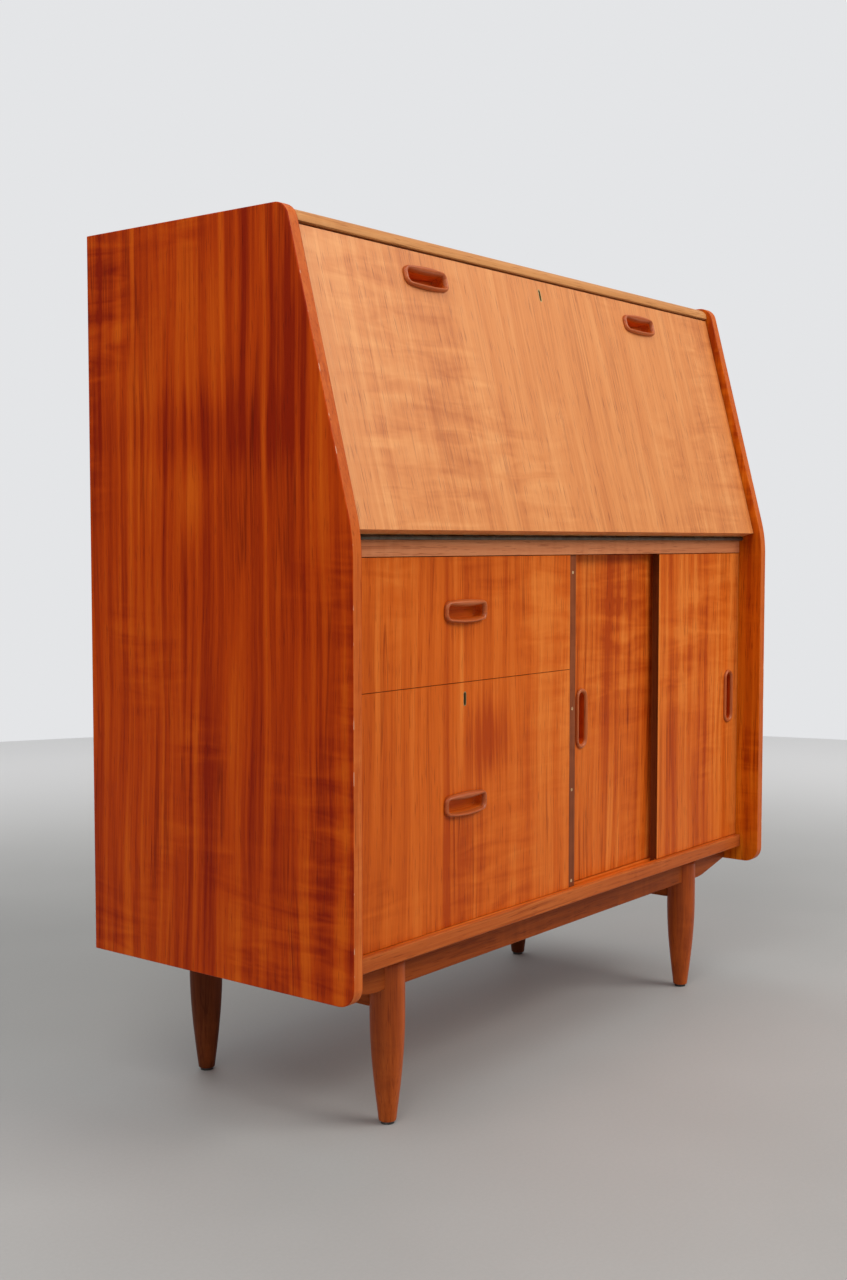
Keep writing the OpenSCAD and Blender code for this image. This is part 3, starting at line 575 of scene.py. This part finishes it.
# Outlines of the pulls and slots: length, width, corner, bow of the upper and the lower side
BOAT = (77.6 * MM, 20.5 * MM, 7 * MM, 2.6 * MM, 3 * MM)
BOAT_SLOT = (65 * MM, 14 * MM, 4 * MM, -2.6 * MM, 2.2 * MM)
# How far a lip stands proud at its ends and in its middle
BOAT_PROUD = (4.2 * MM, 6.9 * MM)
DRAWER_SLOT_DEPTH = 10.5 * MM
for node, board in (("upper_drawer_pull", "upper_drawer_front"),
                    ("lower_drawer_pull", "lower_drawer_front")):
    pull(node, at_face(node, board), DRAWER_SLOT_DEPTH, *BOAT_PROUD, BOAT, BOAT_SLOT,
         [pull_wood, slot_wood])

ON_FALL = Matrix.Translation(HINGE) @ Matrix.Rotation(-LEAN, 4, "X")
FALL_T = 20 * MM
FALL_SLOT_DEPTH = 13.5 * MM
for node in ("fall_pull_left", "fall_pull_right"):
    low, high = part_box(node)
    local = ON_FALL.inverted() @ ((low + high) / 2)
    place = ON_FALL @ Matrix.Translation((local.x, -FALL_T, local.z))
    pull(node, place, FALL_SLOT_DEPTH, *BOAT_PROUD, BOAT, BOAT_SLOT, [pull_wood, slot_wood])

UPRIGHT = Matrix.Rotation(math.radians(90), 4, "Y")
DOOR_PULL = (76 * MM, 24 * MM, 11.9 * MM, 0.4 * MM, 0.4 * MM)
DOOR_SLOT = (65 * MM, 14.6 * MM, 6.5 * MM, 0.2 * MM, 0.2 * MM)
DOOR_PROUD = (3.2 * MM, 3.4 * MM)
DOOR_SLOT_DEPTH = 7.6 * MM
# The CAD pull's rim stands this far out of the door's face
DOOR_RIM = 3.5 * MM
for node in ("left_door_pull", "right_door_pull"):
    low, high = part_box(node)
    place = Matrix.Translation(((low.x + high.x) / 2, low.y + DOOR_RIM, (low.z + high.z) / 2))
    # The slot's darker wood is painted shade.
    pull(node, place @ UPRIGHT, DOOR_SLOT_DEPTH, *DOOR_PROUD, DOOR_PULL, DOOR_SLOT,
         [door_pull_wood, door_slot_painted_shade])


# ---- Fall, drawers and doors ----

def door_part(face):
    """Doors: 1 for the upright edges, whose dark wood is painted shade, 0 for the veneered faces."""
    return 1 if abs(face.normal.x) > 0.5 else 0


# Profile of a knob from its foot outwards: shares of its radius and of its length
KNOB = ((0.5, 0.0), (0.45, 0.2), (0.46, 0.4), (0.62, 0.52), (0.9, 0.62), (1.0, 0.76), (0.96, 0.9),
        (0.8, 0.98), (0.45, 1.0))

eased("fall_front", [fall_wood], 0.8)
for prefix in ("upper_drawer", "lower_drawer"):
    eased(prefix + "_front", [drawer_wood], 0.7)
    eased(prefix + "_sides", [beech_y], 0.8)
    eased(prefix + "_back", [beech_x], 0.8)
    eased(prefix + "_bottom", [ply_floor], 0.3)
eased("left_door", [door_left_wood, door_edge_painted_shade], 0.7, door_part)
eased("right_door", [door_right_wood, door_edge_painted_shade], 0.7, door_part)
for side in ("left", "right"):
    eased("small_drawer_" + side, [inner_wood], 0.6)
    low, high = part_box("small_knob_" + side)
    radius, length = (high.x - low.x) / 2, high.y - low.y
    turned("small_knob_" + side + "_turned", "small_knob_" + side, pull_wood,
           [(radius * r, length * z) for r, z in KNOB],
           Matrix.Translation(((low.x + high.x) / 2, high.y, (low.z + high.z) / 2))
           @ Matrix.Rotation(math.radians(90), 4, "X"))

for node in ("hinge_board_leaf", "hinge_fall_leaf", "hinge_pin"):
    keep(node, hinge_metal_and_painted_shade)
for node in ("fall_strike_plate", "fall_lock_case", "drawer_lock_case", "fall_key_liner",
             "drawer_key_liner", "shelf_pins"):
    keep(node, brass)
for node in ("fall_lock_bolt", "drawer_lock_bolt", "back_screws", "frame_screws"):
    keep(node, steel)
keep("foot_glides", glide_plastic)


# ---- Floor, light and camera ----

FLOOR_R = 3.2
FLOOR_TONES = ((0.3, (0.37, 0.37, 0.36)), (0.7, (0.43, 0.43, 0.42)))
# The floor fades to this colour between these distances from the middle
FLOOR_FAR = (0.82, 0.82, 0.82)
FADE_FROM, FADE_TO = 0.9, 2.8


def floor_material():
    """A plain pale floor that fades evenly into the backdrop."""
    sh = Shader("pale_floor")
    coords = sh.add("ShaderNodeTexCoord", {}).outputs["Object"]
    cloud = sh.noise(coords, 1.3, 4.0, 0.55)
    grit = sh.noise(coords, 240.0, 3.0, 0.6)
    tone = sh.math("MULTIPLY_ADD", grit, 0.25, sh.math("MULTIPLY", cloud, 0.75))
    colour = sh.ramp(tone, FLOOR_TONES)
    reach = sh.add("ShaderNodeVectorMath", {0: coords}, operation="LENGTH").outputs["Value"]
    colour = sh.blend("MIX", sh.span(reach, FADE_FROM, FADE_TO), colour, FLOOR_FAR)
    return sh.finish(colour, sh.math("MULTIPLY_ADD", cloud, 0.2, 0.5), grit, 0.1, 0.0006)


def make_floor():
    bm = bmesh.new()
    bmesh.ops.create_circle(bm, cap_ends=True, radius=FLOOR_R, segments=96)
    mesh = bpy.data.meshes.new("floor")
    bm.to_mesh(mesh)
    bm.free()
    mesh.materials.append(floor_material())
    obj = bpy.data.objects.new("floor", mesh)
    bpy.context.scene.collection.objects.link(obj)


# Softboxes: place, height on the middle line that it aims at, size, watts, colour
LAMPS = {
    "key": ((1.3, -3.1, 3.0), 0.5, (2.6, 1.8), 100.0, (1.0, 0.97, 0.93)),
    "fill": ((-2.6, -0.7, 3.1), 0.5, (2.2, 1.8), 52.0, (1.0, 0.98, 0.95)),
    "back": ((1.0, 2.4, 3.2), 0.6, (2.4, 1.6), 16.0, (1.0, 1.0, 1.0)),
}


def softbox(name, place, aim_height, size, power, colour):
    lamp = bpy.data.lights.new(name, "AREA")
    lamp.shape = "RECTANGLE"
    lamp.size, lamp.size_y = size
    lamp.energy = power
    lamp.color = colour
    obj = bpy.data.objects.new(name, lamp)
    obj.location = place
    aim = Vector((0.0, 0.0, aim_height)) - Vector(place)
    obj.rotation_euler = aim.to_track_quat("-Z", "Y").to_euler()
    bpy.context.scene.collection.objects.link(obj)


make_floor()
for name, settings in LAMPS.items():
    softbox(name, *settings)

BACKDROP = 0.8
SKY_COLOUR = (0.97, 0.98, 1.0, 1.0)
# Strength of the world's light by how far up it comes from
SKY_SPAN = {"From Min": 0.0, "From Max": 0.8, "To Min": 0.16, "To Max": 0.62}


def studio_world():
    """Light comes mostly from above; the backdrop itself is seen as one pale tone."""
    made = bpy.data.worlds.new("studio")
    made.use_nodes = True
    tree = made.node_tree
    coords = tree.nodes.new("ShaderNodeTexCoord")
    split = tree.nodes.new("ShaderNodeSeparateXYZ")
    height = tree.nodes.new("ShaderNodeMapRange")
    tree.links.new(coords.outputs["Generated"], split.inputs[0])
    tree.links.new(split.outputs["Z"], height.inputs[0])
    for socket, value in SKY_SPAN.items():
        height.inputs[socket].default_value = value
    paths = tree.nodes.new("ShaderNodeLightPath")
    choose = tree.nodes.new("ShaderNodeMix")
    tree.links.new(paths.outputs["Is Camera Ray"], choose.inputs[0])
    tree.links.new(height.outputs[0], choose.inputs[2])
    choose.inputs[3].default_value = BACKDROP
    shade = tree.nodes["Background"]
    shade.inputs["Color"].default_value = SKY_COLOUR
    tree.links.new(choose.outputs[0], shade.inputs["Strength"])
    return made


scene = bpy.context.scene
scene.world = studio_world()
scene.view_settings.view_transform = "Standard"

CAMERA_AT = (-1.608, -1.177, 0.633)
CAMERA_DOWN = 3.49
CAMERA_TURN = -52.1
camera_data = bpy.data.cameras.new("camera")
camera_data.sensor_fit = "VERTICAL"
camera_data.sensor_height = 36.0
camera_data.lens = 43.33
camera_data.shift_y = -0.0029
camera_data.clip_end = 100.0
camera = bpy.data.objects.new("camera", camera_data)
camera.location = CAMERA_AT
camera.rotation_euler = (math.radians(90 - CAMERA_DOWN), 0.0, math.radians(CAMERA_TURN))
scene.collection.objects.link(camera)
scene.camera = camera
